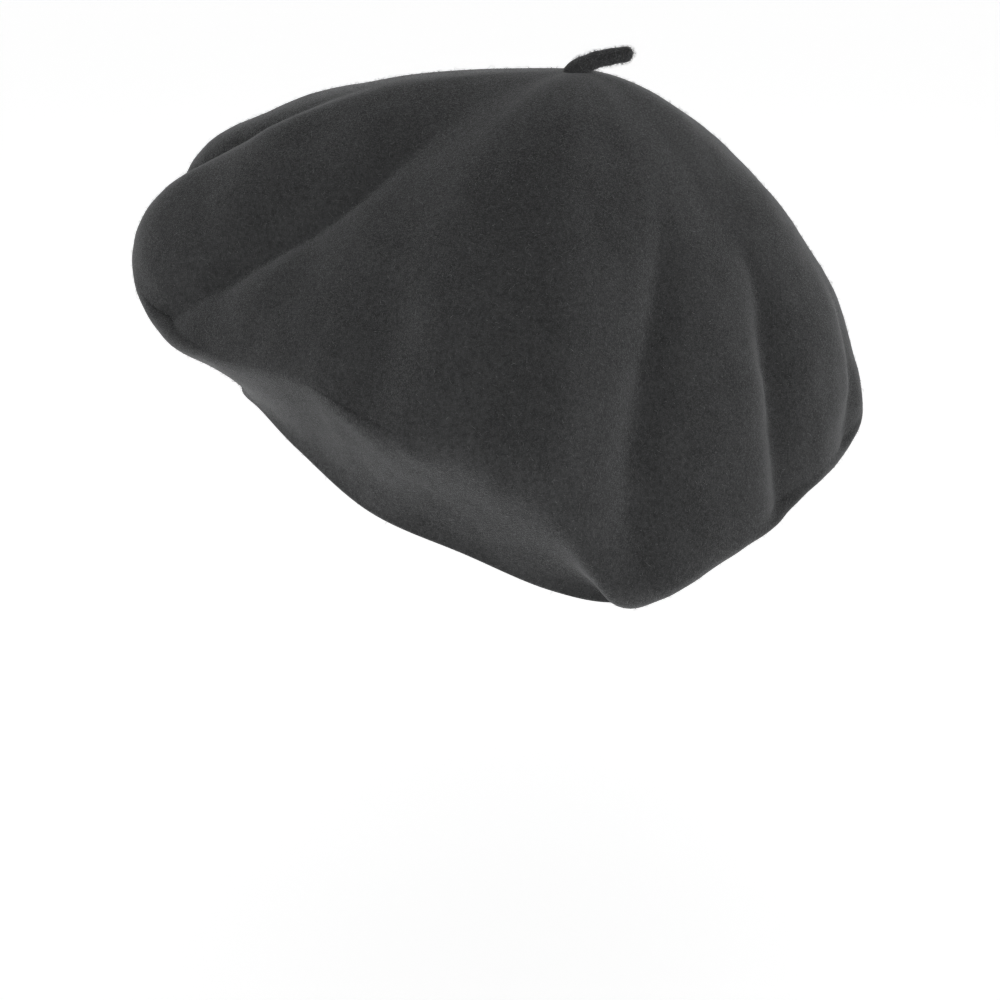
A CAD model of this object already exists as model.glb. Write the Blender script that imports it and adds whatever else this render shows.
"""A charcoal wool felt beret as it is worn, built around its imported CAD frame.

Metres, +Z up, in the frame of the CAD part: the origin is the middle of the head opening, -Y is the
way the wearer faces and +X is the wearer's left. The form's own numbers are in millimetres. A heading
is an angle about +Z from +X, in degrees. A way is a place between the top of the crown, 0, the fold
edge, 1, and the rim of the head opening, 2.
"""

import math

import bmesh
import bpy
import numpy as np
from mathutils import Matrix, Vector


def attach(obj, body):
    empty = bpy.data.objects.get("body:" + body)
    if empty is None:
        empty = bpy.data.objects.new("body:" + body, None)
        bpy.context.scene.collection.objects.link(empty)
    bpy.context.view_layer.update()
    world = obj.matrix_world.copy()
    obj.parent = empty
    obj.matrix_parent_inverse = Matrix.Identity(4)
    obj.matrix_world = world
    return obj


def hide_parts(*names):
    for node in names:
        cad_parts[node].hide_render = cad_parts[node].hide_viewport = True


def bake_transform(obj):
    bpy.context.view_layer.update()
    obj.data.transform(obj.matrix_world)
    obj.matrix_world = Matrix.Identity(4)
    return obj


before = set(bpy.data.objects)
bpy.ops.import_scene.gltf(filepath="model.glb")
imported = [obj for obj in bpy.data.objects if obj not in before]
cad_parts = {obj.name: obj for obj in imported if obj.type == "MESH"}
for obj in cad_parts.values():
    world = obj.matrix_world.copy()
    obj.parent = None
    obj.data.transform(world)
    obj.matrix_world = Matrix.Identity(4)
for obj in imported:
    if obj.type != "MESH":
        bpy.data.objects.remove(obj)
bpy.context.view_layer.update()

MM = 0.001

# ---------- camera, floor and light ----------

CAMERA_AZIMUTH = 123.0
CAMERA_DOWN = 17.6
CAMERA_OUT = 0.887
CAMERA_HEIGHT = 0.274
CAMERA_LENS = 93.6
FLOOR_HEIGHT = -0.17
FLOOR_SIZE = 12
FLOOR_GLOW = 0.54
# How bright the studio is, as (sine of the height above the horizon, share of its full strength).
# It stays level below the first and above the last.
WORLD_STRENGTH = 1.8
WORLD_LIGHT = [(0.15, 1.0), (0.3, 0.4), (0.6, 0.17)]
# name, degrees round from the camera, distance from the axis, height, width, how tall it is, watts
STUDIO_LIGHTS = [
    ("back", 180, 0.9, 1.2, 1.2, 1.2, 1.5),
    ("front", 0, 1.2, 1.0, 1.0, 1.0, 1.0),
    ("low_right", 62, 0.95, -0.04, 1.1, 0.22, 1.2),
    ("low_left", -40, 0.6, -0.12, 0.8, 0.08, 0.3),
]
LIGHT_AIM_HEIGHT = 0.06


def heading_vector(heading):
    angle = math.radians(heading)
    return Vector((math.cos(angle), math.sin(angle), 0))


def make_camera():
    data = bpy.data.cameras.new("camera")
    data.lens = CAMERA_LENS
    data.sensor_width = 36
    data.clip_end = 50
    camera = bpy.data.objects.new("camera", data)
    bpy.context.collection.objects.link(camera)
    out = heading_vector(CAMERA_AZIMUTH - 90) * CAMERA_OUT
    camera.location = out + Vector((0, 0, CAMERA_HEIGHT))
    camera.rotation_euler = (math.radians(90 - CAMERA_DOWN), 0, math.radians(CAMERA_AZIMUTH))
    bpy.context.scene.camera = camera


def make_floor():
    bpy.ops.mesh.primitive_plane_add(size=FLOOR_SIZE, location=(0, 0, FLOOR_HEIGHT))
    floor = bpy.context.object
    floor.name = "floor"
    material = bpy.data.materials.new("pale_floor")
    material.use_nodes = True
    shader = material.node_tree.nodes["Principled BSDF"]
    shader.inputs["Base Color"].default_value = (0.96, 0.96, 0.96, 1)
    shader.inputs["Roughness"].default_value = 0.9
    shader.inputs["Emission Color"].default_value = (1, 1, 1, 1)
    shader.inputs["Emission Strength"].default_value = FLOOR_GLOW
    floor.data.materials.append(material)


def add_area_light(name, heading, out, height, width, tall, power):
    data = bpy.data.lights.new(name, "AREA")
    data.shape = "RECTANGLE"
    data.size = width
    data.size_y = tall
    data.energy = power
    light = bpy.data.objects.new(name, data)
    bpy.context.collection.objects.link(light)
    light.location = heading_vector(heading) * out + Vector((0, 0, height))
    aim = Vector((0, 0, LIGHT_AIM_HEIGHT)) - light.location
    light.rotation_euler = aim.to_track_quat("-Z", "Y").to_euler()
    light.visible_camera = False


def make_light():
    """A studio that is white low down and dimmer overhead, like a light table in a white room."""
    world = bpy.data.worlds.new("studio")
    world.use_nodes = True
    tree = world.node_tree
    place = tree.nodes.new("ShaderNodeTexCoord")
    split = tree.nodes.new("ShaderNodeSeparateXYZ")
    ramp = tree.nodes.new("ShaderNodeValToRGB")
    elements = ramp.color_ramp.elements
    elements.new(WORLD_LIGHT[1][0])
    for element, (rise, value) in zip(elements, WORLD_LIGHT):
        element.position = rise
        element.color = (value, value, value, 1)
    background = tree.nodes["Background"]
    background.inputs["Strength"].default_value = WORLD_STRENGTH
    tree.links.new(place.outputs["Generated"], split.inputs["Vector"])
    tree.links.new(split.outputs["Z"], ramp.inputs["Fac"])
    tree.links.new(ramp.outputs["Color"], background.inputs["Color"])
    bpy.context.scene.world = world
    toward_camera = CAMERA_AZIMUTH - 90
    for name, turn, *placing in STUDIO_LIGHTS:
        add_area_light(name, toward_camera + turn, *placing)
    bpy.context.scene.view_settings.view_transform = "Standard"


# ---------- the beret's form ----------

FELT_THICKNESS = 3.0
FABRIC_GAP = 0.5
OPENING_WIDTH = 158.0
OPENING_LENGTH = 195.0
CROWN_TOP = np.array([-18.4, 19.1, 145.0])
RIM_UPRIGHT_SHARE = 0.35
RIM_UPRIGHT_LEAST = 1.5
RIM_UPRIGHT_MOST = 14.0

# heading, reach from the head's axis, height, how far the crown stays level (a share of the way
# out), how long it falls, and how far it turns under at the fold edge
FOLD_EDGE = [
    (8, 96.5, 45, 0.57, 12, 5),
    (20, 101, 43, 0.56, 14, 10),
    (30, 104, 40, 0.54, 16, 15),
    (42, 106.5, 33, 0.53, 19, 27),
    (53, 105, 17, 0.52, 24, 49),
    (64, 104.5, 2, 0.5, 31, 27),
    (78, 104, 2.5, 0.47, 34, 15),
    (92, 108, 4, 0.42, 36, 10),
    (102, 111, 8, 0.4, 38, 9),
    (111, 118, 13.5, 0.38, 40, 10),
    (128, 131.5, 22, 0.36, 48, 10),
    (148, 134, 33, 0.36, 46, 10),
    (170, 128, 40, 0.42, 42, 10),
    (192, 123, 48, 0.45, 40, 10),
    (213, 120, 54.5, 0.48, 38, 10),
    (234, 123, 63.5, 0.5, 35, 10),
    (254, 127, 75, 0.54, 32, 11),
    (271, 132.5, 86, 0.62, 28, 12),
    (285, 134, 86, 0.68, 26, 14),
    (298, 131.5, 79.5, 0.68, 26, 15),
    (309, 123, 64.5, 0.6, 24, 12),
    (321, 107.5, 57, 0.55, 18, 8),
    (332, 97, 55, 0.52, 13, 5),
    (343, 92, 55, 0.5, 12, 4),
    (355, 93.5, 51.5, 0.51, 12, 3.5),
]
RIM_HEIGHT = [
    (320, 33), (340, 24.5), (0, 9.3), (20, -0.2), (38, -11.5), (52, -16.5), (68, -13.5), (90, -6),
    (130, -6), (180, 0), (230, 10), (275, 24),
]
# The creases between the crown's lobes: path of (way, heading), depth, width, how rounded its bottom
# is as a share of its width, way where it starts and way where it is full.
CREASES = [
    (
        [(0.25, 335), (0.45, 332), (0.6, 324), (0.75, 318), (0.88, 314), (1.1, 309)],
        8.5, 11, 0.17, 0.25, 0.7,
    ),
    ([(0.2, 294), (0.45, 293), (0.7, 289), (1.1, 281)], 13, 13, 0.17, 0.2, 0.65),
    ([(0.45, 3), (0.62, 3), (0.75, 4), (1.1, 8)], 3, 14, 1, 0.35, 0.65),
    ([(0.3, 87), (0.46, 75.5), (0.62, 66), (0.82, 60.5), (1.1, 58)], 9, 11, 0.6, 0.3, 0.7),
    ([(0.4, 108), (0.61, 106), (0.71, 102), (0.82, 99), (1.1, 97)], 6.5, 9, 0.4, 0.4, 0.75),
    ([(0.7, 129), (0.88, 126), (0.97, 120), (1.1, 117)], 5, 14, 0.17, 0.65, 0.9),
    ([(0.3, 166), (1.1, 162)], 9, 14, 0.17, 0.3, 0.8),
    ([(0.3, 205), (1.1, 200)], 9, 14, 0.17, 0.3, 0.8),
    ([(0.3, 246), (1.1, 243)], 9, 14, 0.17, 0.3, 0.8),
]


def smooth_step(low, high, value):
    t = np.clip((value - low) / (high - low), 0, 1)
    return t * t * (3 - 2 * t)


def hermite(low, high, slope_low, slope_high, t):
    back = 1 - t
    return (
        low * (1 + 2 * t) * back**2
        + high * (3 - 2 * t) * t**2
        + slope_low * t * back**2
        - slope_high * t**2 * back
    )


def around_head(stations):
    """A smooth closed curve through rows of (heading, value, ...), read at an array of headings."""
    rows = np.array(sorted(stations), float)
    places, values = rows[:, 0], rows[:, 1:]
    count = len(rows)

    def span(i, j):
        return ((places[j % count] - places[i % count]) % 360)[..., None]

    def read(heading):
        turn = np.asarray(heading, float) % 360
        i = (np.searchsorted(places, turn, side="right") - 1) % count
        step = span(i, i + 1)
        t = ((turn - places[i]) % 360)[..., None] / step
        slope_low = (values[(i + 1) % count] - values[(i - 1) % count]) / span(i - 1, i + 1) * step
        slope_high = (values[(i + 2) % count] - values[i]) / span(i, i + 2) * step
        return hermite(values[i], values[(i + 1) % count], slope_low, slope_high, t)

    return read


def along_path(points):
    """A smooth open curve through (way, heading) points, held level beyond its ends."""
    places, values = np.array(points, float).T
    here = np.arange(len(points))
    before, after = np.maximum(here - 1, 0), np.minimum(here + 1, here[-1])
    slopes = (values[after] - values[before]) / (places[after] - places[before])

    def read(way):
        held = np.clip(way, places[0], places[-1])
        i = np.clip(np.searchsorted(places, held, side="right") - 1, 0, len(points) - 2)
        step = places[i + 1] - places[i]
        t = (held - places[i]) / step
        return hermite(values[i], values[i + 1], slopes[i] * step, slopes[i + 1] * step, t)

    return read


fold_edge_at = around_head(FOLD_EDGE)
rim_height_at = around_head(RIM_HEIGHT)
creases = [(along_path(path), *rest) for path, *rest in CREASES]


def directions(heading):
    angle = np.radians(heading)
    return np.stack([np.cos(angle), np.sin(angle), np.zeros_like(angle)], -1)


def raised(points, rise):
    return points + np.array([0, 0, 1.0]) * np.asarray(rise)[..., None]


def bezier(p0, p1, p2, p3, t):
    t = t[..., None]
    back = 1 - t
    return back**3 * p0 + 3 * back**2 * t * p1 + 3 * back * t**2 * p2 + t**3 * p3


def rim_points(heading, inset=0.0):
    half = np.array([OPENING_WIDTH / 2 - inset, OPENING_LENGTH / 2 - inset, 0])
    return raised(directions(heading) * half, rim_height_at(heading)[..., 0])


def smooth_felt(heading, way):
    """The felt's outer surface without its creases, in millimetres."""
    reach, height, shoulder, fall, tuck = np.moveaxis(fold_edge_at(heading), -1, 0)
    edge = raised(directions(heading) * reach[..., None], height)
    level = CROWN_TOP + (edge - CROWN_TOP) * np.array([1, 1, 0]) * shoulder[..., None]
    crown = bezier(CROWN_TOP, level, raised(edge, fall), edge, np.clip(way, 0, 1))
    rim = rim_points(heading)
    rise = (height - rim[..., 2]) * RIM_UPRIGHT_SHARE
    upright = raised(rim, np.clip(rise, RIM_UPRIGHT_LEAST, RIM_UPRIGHT_MOST))
    under = bezier(edge, raised(edge, -tuck), upright, rim, np.clip(way - 1, 0, 1))
    return np.where((way <= 1)[..., None], crown, under)


def crease_depth(heading, way, reach):
    total = np.zeros_like(way)
    for heading_at, depth, width, softness, start, full in creases:
        turn = (heading - heading_at(way) + 180) % 360 - 180
        spread = width * (0.55 + 0.45 * smooth_step(start, 1, way))
        grown = smooth_step(start, full, way) * (1 - smooth_step(0.9, 1.25, way))
        aside = np.hypot(np.radians(turn) * reach / spread, softness) - softness
        total += depth * grown * np.exp(-aside)
    return total


def outward_normals(surface, heading, way, turn_step, way_step):
    middle = np.clip(way, way_step, 2 - way_step)
    around = surface(heading + turn_step, middle) - surface(heading - turn_step, middle)
    along = surface(heading, middle + way_step) - surface(heading, middle - way_step)
    normal = np.cross(along, around)
    return normal / (np.linalg.norm(normal, axis=-1, keepdims=True) + 1e-12)


def creased_felt(heading, way):
    point = smooth_felt(heading, way)
    share = np.clip(1 - way, 0, 1)[..., None]
    reach = np.linalg.norm(point[..., :2] - CROWN_TOP[:2] * share, axis=-1)
    outward = outward_normals(smooth_felt, heading, way, 0.05, 0.001)
    return point - outward * crease_depth(heading, way, reach)[..., None]


def below_felt(heading, way, depth):
    outward = outward_normals(creased_felt, heading, way, 4.0, 0.05)
    level = directions(heading)
    share = np.clip((way - 1.8) / 0.2, 0, 1)[..., None]
    outward = outward * (1 - share) + level * share
    outward /= np.linalg.norm(outward, axis=-1, keepdims=True)
    top = (way < 1e-6)[..., None]
    outward = np.where(top, np.array([0, 0, 1.0]), outward)
    return creased_felt(heading, way) - outward * depth


# ---------- meshes ----------


def new_piece(name, points, faces, body, nodes, slot, material):
    """A closed piece from points in millimetres, which stands for CAD nodes and rides on a body."""
    mesh = bpy.data.meshes.new(name)
    mesh.from_pydata((np.asarray(points) * MM).tolist(), [], faces)
    shape = bmesh.new()
    shape.from_mesh(mesh)
    bmesh.ops.recalc_face_normals(shape, faces=shape.faces)
    shape.to_mesh(mesh)
    shape.free()
    mesh.polygons.foreach_set("use_smooth", [True] * len(mesh.polygons))
    mesh.update()
    piece = bpy.data.objects.new(name, mesh)
    bpy.context.collection.objects.link(piece)
    piece.data.materials.append(material)
    if nodes:
        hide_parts(*nodes)
    if body:
        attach(piece, body)
    return piece


def together(parts):
    """One list of points and faces out of several (points, faces) parts."""
    points, faces = [], []
    for part_points, part_faces in parts:
        start = sum(len(group) for group in points)
        points.append(np.asarray(part_points).reshape(-1, 3))
        faces.extend(tuple(start + i for i in face) for face in part_faces)
    return np.concatenate(points), faces


def through_rings(rings, loop):
    """A skin through rings of points (rings, around, 3). It loops, or its ends are closed flat."""
    count, around = rings.shape[:2]
    faces = []
    for i in range(count if loop else count - 1):
        here, there = i * around, (i + 1) % count * around
        for k in range(around):
            m = (k + 1) % around
            faces.append((here + k, here + m, there + m, there + k))
    if not loop:
        faces.append(tuple(range(around)))
        faces.append(tuple(range((count - 1) * around, count * around)))
    return rings.reshape(-1, 3), faces


def capped_shell(outer_top, outer, inner, inner_top):
    """A cap of cloth: two layers of rings, joined at the edge and each closed at its middle."""
    rings = np.concatenate([outer, inner[::-1]])
    around = outer.shape[1]
    points, faces = through_rings(rings, False)
    points = np.concatenate([points, [outer_top], [inner_top]])
    top, last = len(points) - 2, len(points) - 2 - around
    faces = faces[:-2]
    for k in range(around):
        m = (k + 1) % around
        faces.append((top, m, k))
        faces.append((top + 1, last + k, last + m))
    return points, faces


def grid_normals(grid):
    """Outward normals of rings of points that run from the top of the crown down."""
    around = np.roll(grid, -1, 1) - np.roll(grid, 1, 1)
    along = np.gradient(grid, axis=0)
    normal = np.cross(along, around)
    return normal / (np.linalg.norm(normal, axis=-1, keepdims=True) + 1e-12)


def tube(line, radius, sides, loop):
    """A round tube along points. The radius is one number, or one for each point."""
    line = np.asarray(line)
    count = len(line)
    tangent = np.roll(line, -1, 0) - np.roll(line, 1, 0) if loop else np.gradient(line, axis=0)
    tangent /= np.linalg.norm(tangent, axis=1, keepdims=True)
    side = np.cross(tangent[0], [0.31, 0.17, 0.93])
    sides_at = []
    for i in range(count + 1):
        ahead = tangent[i % count]
        side = side - ahead * np.dot(side, ahead)
        side /= np.linalg.norm(side)
        sides_at.append(side)
    twist = 0.0
    if loop:
        across = np.cross(tangent[0], sides_at[0])
        twist = math.atan2(np.dot(sides_at[-1], across), np.dot(sides_at[-1], sides_at[0]))
    first = np.array(sides_at[:count])
    second = np.cross(tangent, first)
    untwist = np.arange(count)[:, None] / count * twist
    angle = np.arange(sides)[None, :] / sides * 2 * math.pi - untwist
    size = np.broadcast_to(radius, count)[:, None, None]
    ring = np.cos(angle)[..., None] * first[:, None] + np.sin(angle)[..., None] * second[:, None]
    return through_rings(line[:, None] + ring * size, loop)


def rounded_ends(line, radius, end_radius):
    """The radius along a line whose two ends are rounded off."""
    step = np.linalg.norm(np.diff(line, axis=0), axis=1)
    run = np.concatenate([[0], np.cumsum(step)])
    body = np.linspace(radius, end_radius, len(line))
    left = np.clip(np.minimum(run, run[-1] - run) / body, 0, 1)
    return body * np.sqrt(np.maximum(1 - (1 - left) ** 2, 0.004))


def gentle_waves(points, wavelength, height, seed):
    """A soft unevenness over points: the sum of sine waves in seeded directions."""
    random = np.random.default_rng(seed)
    total = np.zeros(points.shape[:-1])
    count = 14
    for _ in range(count):
        way = random.normal(size=3)
        way *= 2 * math.pi / (np.linalg.norm(way) * wavelength * random.uniform(0.7, 1.4))
        total += np.sin(points @ way + random.uniform(0, 2 * math.pi))
    return total * height / math.sqrt(count / 2)


# ---------- materials ----------


class Nodes:
    """Short names for building a material's node tree."""

    def __init__(self, name):
        self.material = bpy.data.materials.new(name)
        self.material.use_nodes = True
        self.tree = self.material.node_tree
        self.shader = self.tree.nodes["Principled BSDF"]
        self.place = self.add("ShaderNodeTexCoord").outputs["Object"]

    def add(self, kind, **settings):
        node = self.tree.nodes.new(kind)
        for key, value in settings.items():
            setattr(node, key, value)
        return node

    def link(self, source, target):
        self.tree.links.new(source, target)

    def noise(self, scale, detail=2.0, roughness=0.5, stretch=None, turn=(0, 0, 0)):
        node = self.add("ShaderNodeTexNoise")
        node.inputs["Scale"].default_value = scale
        node.inputs["Detail"].default_value = detail
        node.inputs["Roughness"].default_value = roughness
        source = self.place
        if stretch:
            mapping = self.add("ShaderNodeMapping")
            mapping.inputs["Rotation"].default_value = [math.radians(a) for a in turn]
            mapping.inputs["Scale"].default_value = stretch
            self.link(source, mapping.inputs["Vector"])
            source = mapping.outputs["Vector"]
        self.link(source, node.inputs["Vector"])
        return node.outputs["Fac"]

    def ramp(self, source, stops):
        node = self.add("ShaderNodeValToRGB")
        elements = node.color_ramp.elements
        while len(elements) < len(stops):
            elements.new(0.5)
        for element, (position, value) in zip(elements, stops):
            element.position = position
            color = value if hasattr(value, "__len__") else (value, value, value)
            element.color = (*color, 1)
        self.link(source, node.inputs["Fac"])
        return node.outputs["Color"]

    def math(self, operation, a, b):
        node = self.add("ShaderNodeMath", operation=operation)
        for socket, value in zip(node.inputs, (a, b)):
            if isinstance(value, (int, float)):
                socket.default_value = value
            else:
                self.link(value, socket)
        return node.outputs["Value"]

    def mix(self, factor, a, b):
        node = self.add("ShaderNodeMix", data_type="RGBA")
        for name, value in (("Factor", factor), ("A", a), ("B", b)):
            socket = node.inputs[name]
            if isinstance(value, tuple):
                socket.default_value = (*value, 1)
            elif isinstance(value, (int, float)):
                socket.default_value = value
            else:
                self.link(value, socket)
        return node.outputs["Result"]

    def color(self, source):
        self.link(source, self.shader.inputs["Base Color"])

    def bump(self, height, strength, distance):
        node = self.add("ShaderNodeBump")
        node.inputs["Strength"].default_value = strength
        node.inputs["Distance"].default_value = distance
        self.link(height, node.inputs["Height"])
        self.link(node.outputs["Normal"], self.shader.inputs["Normal"])

    def set(self, **values):
        for name, value in values.items():
            self.shader.inputs[name.replace("_", " ")].default_value = value


def felt_material():
    """Fulled wool: short fibres lying every way, a few lighter than the rest, and a soft sheen."""
    n = Nodes("wool_felt")
    dark, light = (0.0238, 0.0241, 0.0244), (0.0344, 0.0348, 0.0353)
    mottle = n.ramp(n.noise(60, 4, 0.6), [(0.3, dark), (0.7, light)])
    grain = n.ramp(n.noise(700, 3, 0.65), [(0.35, 0.72), (0.68, 1.35)])
    fibres = None
    for stretch, turn in (
        ((700, 3200, 3200), (20, 35, 10)),
        ((3200, 700, 3200), (50, 10, 70)),
        ((3200, 3200, 700), (15, 60, 30)),
        ((800, 2900, 2900), (65, 15, 115)),
    ):
        streaks = n.ramp(n.noise(1, 1, stretch=stretch, turn=turn), [(0.62, 0.0), (0.74, 1.0)])
        fibres = streaks if fibres is None else n.math("MAXIMUM", fibres, streaks)
    tone = n.add("ShaderNodeMix", data_type="RGBA", blend_type="MULTIPLY")
    tone.inputs["Factor"].default_value = 1
    n.link(mottle, tone.inputs["A"])
    n.link(grain, tone.inputs["B"])
    n.color(n.mix(n.math("MULTIPLY", fibres, 0.5), tone.outputs["Result"], (0.085, 0.086, 0.088)))
    n.set(Roughness=0.95, Sheen_Weight=0.34, Sheen_Roughness=0.4, Sheen_Tint=(0.79, 0.80, 0.81, 1))
    n.set(Specular_IOR_Level=0.12)
    pits = n.math("MULTIPLY", n.noise(1300, 3, 0.6), 0.6)
    n.bump(n.math("ADD", pits, n.math("MULTIPLY", fibres, 0.5)), 0.6, 0.0004)
    return n.material


def nap_material():
    """Single wool fibres that stand out of the felt, from dark to grey."""
    n = Nodes("wool_nap")
    n.color(n.ramp(n.noise(420, 1), [(0.35, (0.025, 0.0255, 0.0265)), (0.7, (0.12, 0.122, 0.126))]))
    n.set(Roughness=0.7, Sheen_Weight=0.3, Sheen_Roughness=0.5, Specular_IOR_Level=0.2)
    return n.material


def satin_material():
    """Black lining satin: fine threads lying one way under a soft gloss."""
    n = Nodes("satin")
    weave = n.noise(1, 1, stretch=(300, 4200, 4200), turn=(0, 0, 35))
    n.color(n.ramp(weave, [(0.3, (0.010, 0.0105, 0.012)), (0.7, (0.018, 0.0185, 0.021))]))
    n.set(Roughness=0.34, Sheen_Weight=0.2, Sheen_Roughness=0.3, Anisotropic=0.5)
    n.bump(n.math("ADD", weave, n.noise(90, 2)), 0.25, 0.0002)
    return n.material


def ribbon_material():
    """Matt black grosgrain. Its ribs are in the mesh; this is the thread that they are woven of."""
    n = Nodes("grosgrain")
    n.color(n.ramp(n.noise(900, 2), [(0.3, (0.009, 0.009, 0.010)), (0.7, (0.019, 0.019, 0.020))]))
    n.set(Roughness=0.58, Sheen_Weight=0.3, Sheen_Roughness=0.4)
    n.bump(n.noise(2600, 2), 0.35, 0.0002)
    return n.material


def thread_material():
    """Sewing thread, its twist seen as fine light and dark."""
    n = Nodes("thread")
    n.color(n.ramp(n.noise(1500, 2), [(0.3, (0.016, 0.016, 0.017)), (0.7, (0.042, 0.042, 0.045))]))
    n.set(Roughness=0.5, Sheen_Weight=0.3)
    n.bump(n.noise(3000, 1), 0.4, 0.0002)
    return n.material


def label_material():
    """Plain woven grey taffeta with a visible over-and-under weave."""
    n = Nodes("woven_label")
    warp = n.noise(1, 0, stretch=(350, 4300, 350), turn=(0, 0, 20))
    weft = n.noise(1, 0, stretch=(4300, 350, 350), turn=(0, 0, 20))
    weave = n.math("MULTIPLY", n.math("ADD", warp, weft), 0.5)
    n.color(n.ramp(weave, [(0.38, (0.20, 0.205, 0.215)), (0.62, (0.33, 0.335, 0.35))]))
    n.set(Roughness=0.6, Sheen_Weight=0.25)
    n.bump(weave, 0.4, 0.0002)
    return n.material


felt = felt_material()
nap = nap_material()
satin = satin_material()
ribbon = ribbon_material()
thread = thread_material()
label = label_material()

# ---------- felt ----------

FELT_AROUND = 288
FELT_CROWN_ROWS = 112
FELT_UNDER_ROWS = 46
NAP_COUNT = 9000


def headings_around(count):
    return np.arange(count) * 360 / count


def felt_surface(heading, way, depth):
    points = below_felt(heading, way, depth) if depth else creased_felt(heading, way)
    outward = outward_normals(creased_felt, heading, way, 2.0, 0.02)
    grown = smooth_step(0.1, 0.5, way) * (1 - smooth_step(1.8, 2.0, way))
    uneven = gentle_waves(points, 38, 0.4, 3) + gentle_waves(points, 13, 0.08, 5)
    return points + outward * (uneven * grown)[..., None]


def make_felt():
    ways = np.concatenate([
        np.linspace(0, 1, FELT_CROWN_ROWS + 1)[1:],
        np.linspace(1, 2, FELT_UNDER_ROWS + 1)[1:],
    ])
    heading, way = np.meshgrid(headings_around(FELT_AROUND), ways)
    outer = felt_surface(heading, way, 0)
    inner = felt_surface(heading, way, FELT_THICKNESS)
    inner_top = CROWN_TOP - np.array([0, 0, FELT_THICKNESS])
    points, faces = capped_shell(CROWN_TOP, outer, inner, inner_top)
    shell = new_piece("felt_shell", points, faces, "beret", ["felt_body"], "felt", felt)
    fibres = new_piece("felt_nap", *nap_over(outer, NAP_COUNT, 11), "beret", [], "felt", nap)
    return shell, fibres


def nap_over(grid, count, seed):
    """Short bent fibres spread evenly over rings of points, most of them lying almost flat."""
    random = np.random.default_rng(seed)
    normals = grid_normals(grid)
    here = grid[:-1]
    area = np.linalg.norm(np.cross(np.roll(here, -1, 1) - here, grid[1:] - here), axis=-1).ravel()
    chosen = random.choice(area.size, count, p=area / area.sum())
    row, column = np.divmod(chosen, grid.shape[1])
    beside = (column + 1) % grid.shape[1]
    across, down = random.uniform(size=(2, count, 1))
    root = (grid[row, column] * (1 - across) + grid[row, beside] * across) * (1 - down)
    root += (grid[row + 1, column] * (1 - across) + grid[row + 1, beside] * across) * down
    outward = normals[row, column]
    flat = np.cross(outward, random.normal(size=(count, 3)))
    flat /= np.linalg.norm(flat, axis=1, keepdims=True)
    turned = np.cross(outward, flat)
    length = random.uniform(0.7, 2.2, (count, 1))
    rise = random.uniform(0.12, 0.5, (count, 1))
    bend = random.uniform(-0.35, 0.35, (count, 1))
    middle = root + (flat * 0.5 + outward * rise) * length
    lift = random.uniform(0.6, 1.6, (count, 1))
    tip = root + (flat + turned * bend + outward * rise * lift) * length
    root = root - outward * 0.15
    thick = 0.055
    angles = (np.arange(3) * 2 * math.pi / 3)[None, :, None]
    ring = np.cos(angles) * turned[:, None] + np.sin(angles) * outward[:, None]
    points = np.concatenate([
        root[:, None] + ring * thick, middle[:, None] + ring * thick * 0.8, tip[:, None],
    ], 1)
    one = [(0, 1, 2), (0, 1, 4, 3), (1, 2, 5, 4), (2, 0, 3, 5), (3, 4, 6), (4, 5, 6), (5, 3, 6)]
    faces = [tuple(7 * i + k for k in face) for i in range(count) for face in one]
    return points.reshape(-1, 3), faces


# ---------- stalk ----------

STALK_LEAN_HEADING = 123.0
STALK_RADIUS = 3.0
STALK_TIP_RADIUS = 2.6
# How much wider the root is than the stalk, and how far along it that width falls away.
STALK_ROOT_SPREAD = 2.6
STALK_ROOT_FALL = 1.6
STALK_RINGS = 60
STALK_SIDES = 32
STALK_NAP_COUNT = 700
STALK_NAP_FROM_RING = 8
# How far the stalk's middle line has leaned out, and how far it has risen, from the felt to the tip.
STALK_LINE = [
    (0, -1.4), (0, -0.5), (0.6, 0.5), (2.4, 1.9), (5.2, 3.2), (9, 4.3), (13, 5.1), (17, 5.7),
    (19.6, 6.0),
]
# Where, as (out, up) from the top of the crown, the stalk starts to bend and where it bends fully.
STALK_BEND_FROM = (0.6, 0.4)
STALK_BEND_TO = (8.0, 4.1)


def smooth_line(points, count):
    """Points spread evenly along a smooth curve that passes through the given ones."""
    points = np.array(points, float)
    places = np.concatenate([[0], np.cumsum(np.linalg.norm(np.diff(points, axis=0), axis=1))])
    slopes = np.gradient(points, places, axis=0)
    place = np.linspace(0, places[-1], count)
    i = np.clip(np.searchsorted(places, place, side="right") - 1, 0, len(points) - 2)
    step = (places[i + 1] - places[i])[:, None]
    t = (place - places[i])[:, None] / step
    return hermite(points[i], points[i + 1], slopes[i] * step, slopes[i + 1] * step, t)


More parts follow.
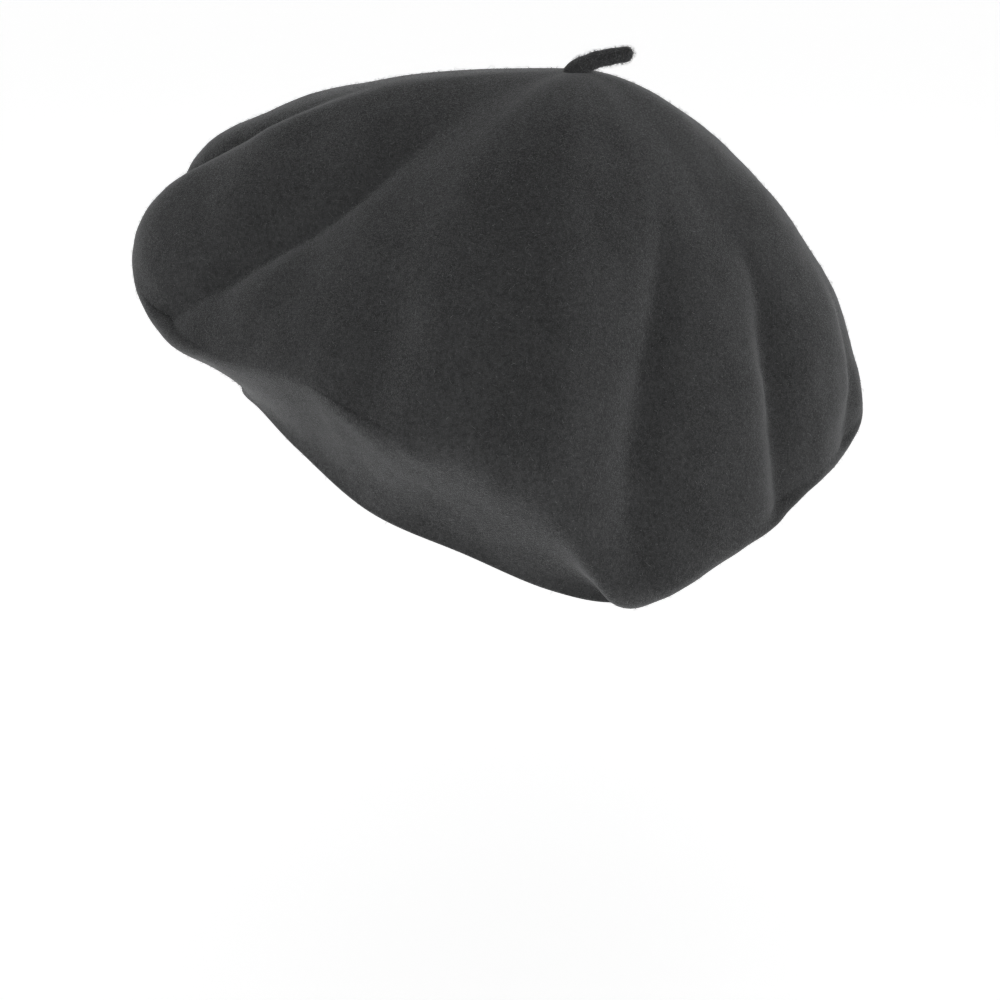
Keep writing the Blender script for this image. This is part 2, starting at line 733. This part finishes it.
def make_stalk():
    """The stalk is pulled out of the crown's felt: flared at the root and rounded at the tip."""
    across, up = directions(np.array(STALK_LEAN_HEADING)), np.array([0, 0, 1.0])

    def place(out_and_up):
        out, rise = np.moveaxis(np.asarray(out_and_up), -1, 0)
        return CROWN_TOP + out[..., None] * across + rise[..., None] * up

    line = place(smooth_line(STALK_LINE, STALK_RINGS))
    run = np.concatenate([[0], np.cumsum(np.linalg.norm(np.diff(line, axis=0), axis=1))])
    body = STALK_RADIUS + (STALK_TIP_RADIUS - STALK_RADIUS) * run / run[-1]
    flare = STALK_ROOT_SPREAD * np.exp(-run / STALK_ROOT_FALL)
    left = np.clip((run[-1] - run) / STALK_TIP_RADIUS, 0, 1)
    radius = (body + flare) * np.sqrt(np.maximum(1 - (1 - left) ** 2, 0.002))
    points, faces = tube(line, radius, STALK_SIDES, False)
    rings = points.reshape(STALK_RINGS, STALK_SIDES, 3)
    rings = rings + grid_normals(rings) * gentle_waves(rings, 5, 0.12, 8)[..., None]
    skin = new_piece("stalk_felt", rings.reshape(-1, 3), faces, None, ["stalk"], "felt", felt)
    # The tube's rings run the other way round from the crown's, so they are reversed for the nap.
    clear = rings[STALK_NAP_FROM_RING:, ::-1]
    fibres = nap_over(clear, STALK_NAP_COUNT, 12)
    fuzz = new_piece("stalk_nap", *fibres, None, [], "felt", nap)
    low, high = place(STALK_BEND_FROM) * MM, place(STALK_BEND_TO) * MM
    for piece in (skin, fuzz):
        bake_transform(piece)


# ---------- lining ----------

LINING_THICKNESS = 0.6
LINING_DEPTH = FELT_THICKNESS + FABRIC_GAP + 0.9 + FABRIC_GAP
LINING_INSIDE = LINING_DEPTH + LINING_THICKNESS
LINING_SPLIT = 0.60
LINING_SEAM_WAY = 0.03
SWEATBAND_HEIGHT = 25.0
SWEATBAND_THICKNESS = 1.2
SWEATBAND_LIFT = 2.2
BAND_INSET = FELT_THICKNESS + FABRIC_GAP
LABEL_RADIUS = 26.0
LABEL_THICKNESS = 0.5
LINING_AROUND = 576
SEAM_WAY = LINING_SPLIT + LINING_SEAM_WAY / 2


def band_point(heading, inset, rise):
    """A point on the sweatband, inset from its outer face towards the head, above its lower edge."""
    depth = BAND_INSET + np.asarray(inset)
    half = np.array([OPENING_WIDTH / 2, OPENING_LENGTH / 2, 0]) - depth[..., None]
    height = rim_height_at(heading)[..., 0] + SWEATBAND_LIFT + rise
    return raised(directions(heading) * half, height)


def pleats(heading, count, seed):
    """Uneven soft pleats around the head, from 0 in a hollow to 1 on a pleat."""
    random = np.random.default_rng(seed)
    turn = np.radians(heading)
    drift = sum(
        random.uniform(0.2, 0.5) * np.sin(k * turn + random.uniform(0, 6.28)) for k in (3, 5, 8, 13)
    )
    strength = 0.7 + 0.3 * np.sin(7 * turn + random.uniform(0, 6.28)) * np.sin(11 * turn + 1.3)
    return (0.5 + 0.5 * np.sin(count * turn + 2 * drift)) ** 1.6 * strength


def cloth_layers(grid, inward, thickness):
    """The two faces of a cloth whose outer face is a grid, moved inward where it is pleated."""
    normal = grid_normals(grid)
    outer = grid - normal * inward[..., None]
    return outer, outer - normal * thickness


def make_lining_crown():
    rows = 60
    ways = np.linspace(0, SEAM_WAY - 0.002, rows + 1)[1:]
    heading, way = np.meshgrid(headings_around(LINING_AROUND), ways)
    grid = below_felt(heading, way, LINING_DEPTH)
    gathered = smooth_step(0.42, SEAM_WAY, way)
    slack = smooth_step(0.32, 0.5, way)
    inward = pleats(heading, 96, 21) * gathered * 0.8
    inward = inward + (0.5 + gentle_waves(grid, 30, 0.3, 22)) * slack
    outer, inner = cloth_layers(grid, inward, LINING_THICKNESS)
    top = CROWN_TOP - np.array([0, 0, LINING_DEPTH])
    points, faces = capped_shell(top, outer, inner, top - np.array([0, 0, LINING_THICKNESS]))
    return new_piece("lining_crown_panel", points, faces, "beret", ["lining_crown"], "satin", satin)


def make_lining_side():
    rows = 34
    heading, share = np.meshgrid(headings_around(LINING_AROUND), np.linspace(0, 1, rows + 1))
    top = below_felt(heading, np.full_like(heading, SEAM_WAY + 0.002), LINING_DEPTH)
    foot = band_point(heading, np.zeros_like(heading), SWEATBAND_HEIGHT - 1.5)
    foot_in = band_point(heading, np.full_like(heading, 0.6), SWEATBAND_HEIGHT + 1.0)
    grid = top + (foot_in - top) * share[..., None]
    grid = grid + (foot - foot_in) * smooth_step(0.93, 1, share)[..., None]
    gathered = 0.55 * (1 - smooth_step(0, 0.3, share)) + 1.5 * smooth_step(0.45, 0.92, share)
    held = 1 - smooth_step(0.94, 1.0, share)
    inward = (pleats(heading, 96, 21) * (0.35 + gathered) + 0.4) * held
    inward = inward + (0.8 + gentle_waves(grid, 26, 0.5, 24)) * np.sin(np.pi * share)
    outer, inner = cloth_layers(grid, inward, LINING_THICKNESS)
    points, faces = through_rings(np.concatenate([outer, inner[::-1]]), True)
    return new_piece("lining_side_panel", points, faces, "beret", ["lining_side"], "satin", satin)


def stitch_round(pitch_count, steps, place):
    """Overcast stitches around the head: place gives the point for a heading and a thread's turn."""
    count = pitch_count * steps
    turn = np.arange(count) * 2 * math.pi / steps
    return tube(place(headings_around(count), turn), 0.3, 6, True)


def make_lining_seam():
    def place(heading, turn):
        way = SEAM_WAY + 0.009 * np.cos(turn)
        return below_felt(heading, way, (LINING_INSIDE + 0.75 + 0.55 * np.sin(turn))[..., None])

    stitches = stitch_round(170, 10, place)
    nodes = ["lining_seam_thread"]
    return new_piece("lining_seam_stitches", *stitches, "beret", nodes, "thread", thread)


# ---------- label on the lining, left blank ----------

LABEL_DEPTH = LINING_INSIDE + FABRIC_GAP


def way_at_distance(heading, distance):
    """The way at which the crown without its creases is a level distance from its top."""
    near, far = np.zeros_like(heading), np.ones_like(heading)
    for _ in range(20):
        middle = (near + far) / 2
        point = smooth_felt(heading, middle)
        inside = np.linalg.norm((point - CROWN_TOP)[..., :2], axis=-1) < distance
        near, far = np.where(inside, middle, near), np.where(inside, far, middle)
    return near


def make_label():
    around, rows = 192, 40
    heading, share = np.meshgrid(headings_around(around), np.linspace(0, 1, rows + 1)[1:])
    way = way_at_distance(heading, LABEL_RADIUS) * share
    distance = share * LABEL_RADIUS
    grid = below_felt(heading, way, LABEL_DEPTH)
    normal = grid_normals(grid)
    border = 0.22 * smooth_step(22.6, 23.0, distance) * (1 - smooth_step(24.6, 25.0, distance))
    inner = grid - normal * (LABEL_THICKNESS + border)[..., None]
    top = CROWN_TOP - np.array([0, 0, LABEL_DEPTH])
    points, faces = capped_shell(top, grid, inner, top - np.array([0, 0, LABEL_THICKNESS]))
    return new_piece("maker_label_disc", points, faces, "beret", ["maker_label"], "label", label)


def make_label_stitches():
    def place(heading, turn):
        way = way_at_distance(heading, LABEL_RADIUS + 0.2 + 1.1 * np.cos(turn))
        middle = LABEL_DEPTH + LABEL_THICKNESS / 2
        return below_felt(heading, way, (middle + 0.75 * np.sin(turn))[..., None])

    stitches = stitch_round(64, 12, place)
    return new_piece("maker_label_stitches", *stitches, "beret", ["label_thread"], "thread", thread)


def make_stalk_stitches():
    """Three threads crossed flat under the stalk, between the felt and the lining."""
    middle = CROWN_TOP - np.array([0, 0, FELT_THICKNESS + FABRIC_GAP + 0.45])
    strands = []
    for heading in (20.0, 80.0, 140.0):
        along = directions(np.array(heading))
        reach = np.linspace(-3.2, 3.2, 24)
        line = middle + reach[:, None] * along
        line = raised(line, 0.5 * (np.abs(reach) / 3.2) ** 4)
        strands.append(tube(line, rounded_ends(line, 0.38, 0.38), 8, False))
    points, faces = together(strands)
    return new_piece("stalk_tack", points, faces, "beret", ["stalk_stitches"], "thread", thread)


# ---------- sweatband ----------

RIB_COUNT = 420
COLUMNS_PER_RIB = 4


def make_sweatband():
    columns = RIB_COUNT * COLUMNS_PER_RIB
    rises = np.array([0, 0.25, 0.9, 1.4, 6, 12.5, 19, 23.6, 24.1, 24.75, 25])
    heading, rise = np.meshgrid(headings_around(columns), rises)
    rib = 0.5 + 0.5 * np.cos(np.radians(heading) * RIB_COUNT)
    selvedge = (rise < 1.1) | (rise > 23.9)
    rounded = np.where((rise < 0.1) | (rise > 24.9), 0.25, 0.0)
    face = SWEATBAND_THICKNESS - 0.22 + 0.22 * rib + np.where(selvedge, 0.14, 0.0) - rounded
    outer = band_point(heading, rounded, rise)
    inner = band_point(heading, face, rise)
    points, faces = through_rings(np.concatenate([outer, inner[::-1]]), True)
    return new_piece("sweatband_ribbon", points, faces, "beret", ["sweatband"], "ribbon", ribbon)


def make_band_stitches():
    def place(heading, turn):
        return band_point(heading, 0.35 + 1.05 * np.cos(turn), -0.1 + 0.75 * np.sin(turn))

    stitches = stitch_round(170, 10, place)
    return new_piece("band_stitches", *stitches, "beret", ["band_thread"], "thread", thread)


# ---------- bow over the band's join at the nape ----------

BOW_HEADING = 90.0
BOW_RISE = SWEATBAND_HEIGHT * 0.45


def on_band(heading, rise, clearance, local):
    """Local points, X along the band, Y up and Z towards the head, set on the band's inner face."""
    place = band_point(np.array(heading), np.array(SWEATBAND_THICKNESS + clearance), rise)
    angle = math.radians(heading)
    inward = np.array([-math.cos(angle) / OPENING_WIDTH, -math.sin(angle) / OPENING_LENGTH, 0])
    inward /= np.linalg.norm(inward)
    up = np.array([0, 0, 1.0])
    axes = np.stack([np.cross(up, inward), up, inward])
    return place + np.asarray(local) @ axes


def bent_to_band(local):
    bend = (OPENING_WIDTH / 2 - BAND_INSET) ** 2 / (OPENING_LENGTH / 2 - BAND_INSET)
    return local + np.array([0, 0, 1.0]) * (local[..., :1] ** 2 / (2 * bend))


def ribbon_strip(line, normal, half_width, thickness, loop, across=9):
    """A ribbon along a line of local points, with its width standing up along Y."""
    shares = np.linspace(-1, 1, across)
    width = np.broadcast_to(half_width, len(line))
    upright = np.array([0, 1.0, 0])
    face = line[:, None] + shares[None, :, None] * width[:, None, None] * upright
    rounded = (1 - 0.55 * np.abs(shares) ** 8)[None, :, None]
    lift = normal[:, None] * thickness / 2 * rounded
    return through_rings(np.concatenate([face + lift, (face - lift)[:, ::-1]], 1), loop)


def bow_loop(side):
    turn = np.arange(48) * 2 * math.pi / 48
    out = 0.6 + 6.7 * (1 - np.cos(turn))
    line = np.stack([side * out, 0.1 * out, 1.35 + 0.85 * np.sin(turn) * (0.45 + 0.05 * out)], -1)
    ahead = np.roll(line, -1, 0) - np.roll(line, 1, 0)
    normal = np.cross(ahead, [0, 1.0, 0])
    normal /= np.linalg.norm(normal, axis=1, keepdims=True)
    return ribbon_strip(line, normal, 1.5 + 2.5 * smooth_step(0.5, 8, out), 0.45, True)


def bow_tail(side):
    share = np.linspace(0, 1, 24)
    lie = 0.9 + 0.5 * np.sin(share * 5)
    middle = np.stack([side * (0.6 + 7 * share), -0.5 - 9 * share, lie], -1)
    along = np.gradient(middle, axis=0)
    along /= np.linalg.norm(along, axis=1, keepdims=True)
    sideways = np.cross(along, [0, 0, 1.0])
    sideways /= np.linalg.norm(sideways, axis=1, keepdims=True)
    shares = np.linspace(-1, 1, 9)
    half = (1.3 + 1.5 * smooth_step(0, 0.4, share))[:, None, None]
    notch = (share**6)[:, None, None] * (1 - np.abs(shares))[None, :, None] * -1.6
    face = middle[:, None] + sideways[:, None] * shares[None, :, None] * half
    face = face + along[:, None] * notch
    lift = np.cross(sideways, along)[:, None] * 0.22
    return through_rings(np.concatenate([face + lift, (face - lift)[:, ::-1]], 1), False)


def bow_knot():
    turn = np.arange(28) * 2 * math.pi / 28
    rise = np.linspace(-1, 1, 15)[:, None]
    size = np.sqrt(np.maximum(1 - rise**2, 0.02)) ** 0.5
    fold = 1 + 0.06 * np.cos(turn * 6)[None, :]
    ring = np.stack([
        2.3 * np.cos(turn)[None, :] * size * fold,
        np.broadcast_to(2.7 * rise, (15, 28)),
        1.7 + 1.35 * np.sin(turn)[None, :] * size * fold,
    ], -1)
    return through_rings(ring, False)


def make_bow():
    parts = [bow_loop(1), bow_loop(-1), bow_tail(1), bow_tail(-1), bow_knot()]
    points, faces = together(parts)
    points = on_band(BOW_HEADING, BOW_RISE, FABRIC_GAP, bent_to_band(points))
    nodes = ["sweatband_bow"]
    return new_piece("sweatband_bow_ribbon", points, faces, "beret", nodes, "ribbon", ribbon)


# ---------- size tab ----------

TAB_HEADING = 128.0
TAB_WIDTH = 14.0
TAB_LENGTH = 17.0
TAB_THICKNESS = 0.7
TAB_HINGE_DROP = 4.0


def make_size_tab():
    """A strip of taffeta folded in two, its raw ends at the top and its fold at the bottom."""
    ply = TAB_THICKNESS / 2 - 0.03
    down = np.linspace(0, TAB_LENGTH - ply, 20)
    bend = np.linspace(-math.pi / 2, math.pi / 2, 9)
    ply_z = np.array([ply / 2 + 0.01, TAB_THICKNESS - ply / 2 - 0.01])
    fold_radius = (ply_z[1] - ply_z[0]) / 2
    run = np.concatenate([down, TAB_LENGTH - ply + fold_radius * np.cos(bend), down[::-1]])
    depth = np.concatenate([
        np.full(20, ply_z[0]),
        TAB_THICKNESS / 2 + fold_radius * np.sin(bend),
        np.full(20, ply_z[1]),
    ])
    depth = depth + 0.0022 * run**2
    line = np.stack([np.zeros_like(run), -run, depth], -1)
    ahead = np.gradient(line, axis=0)
    ahead /= np.linalg.norm(ahead, axis=1, keepdims=True)
    normal = np.cross(ahead, [1.0, 0, 0])
    shares = np.linspace(-1, 1, 25)
    half = (TAB_WIDTH / 2 - 0.5 * smooth_step(TAB_LENGTH - 1.5, TAB_LENGTH, run))[:, None, None]
    face = line[:, None] + shares[None, :, None] * half * np.array([1.0, 0, 0])
    lift = normal[:, None] * ply * 0.45 * (1 - 0.5 * np.abs(shares) ** 12)[None, :, None]
    points, faces = through_rings(np.concatenate([face + lift, (face - lift)[:, ::-1]], 1), False)
    points = on_band(TAB_HEADING, SWEATBAND_HEIGHT - TAB_HINGE_DROP, 2 * FABRIC_GAP, points)
    return new_piece("size_tab_fold", points, faces, "size_tab", ["size_tab"], "label", label)


def make_tab_stitches():
    """A bar of close zigzag stitches that holds the tab's upper edge."""
    count = 12
    across = np.linspace(-TAB_WIDTH / 2 + 1, TAB_WIDTH / 2 - 1, count * 12)
    turn = np.linspace(0, count * 2 * math.pi, count * 12)
    line = np.stack([across, 1.25 + 0.85 * np.sin(turn), 0.05 + 0.45 * np.cos(turn)], -1)
    points, faces = tube(line, 0.28, 6, False)
    points = on_band(TAB_HEADING, SWEATBAND_HEIGHT - TAB_HINGE_DROP, 2 * FABRIC_GAP, points)
    return new_piece("tab_stitches", points, faces, "beret", ["tab_thread"], "thread", thread)


# ---------- run ----------

make_camera()
make_floor()
make_light()
felt_shell, felt_nap = make_felt()
make_stalk()
make_stalk_stitches()
lining_crown = make_lining_crown()
lining_side = make_lining_side()
seam_stitches = make_lining_seam()
maker_label = make_label()
label_stitches = make_label_stitches()
sweatband = make_sweatband()
band_stitches = make_band_stitches()
bow = make_bow()
size_tab = make_size_tab()
tab_stitches = make_tab_stitches()
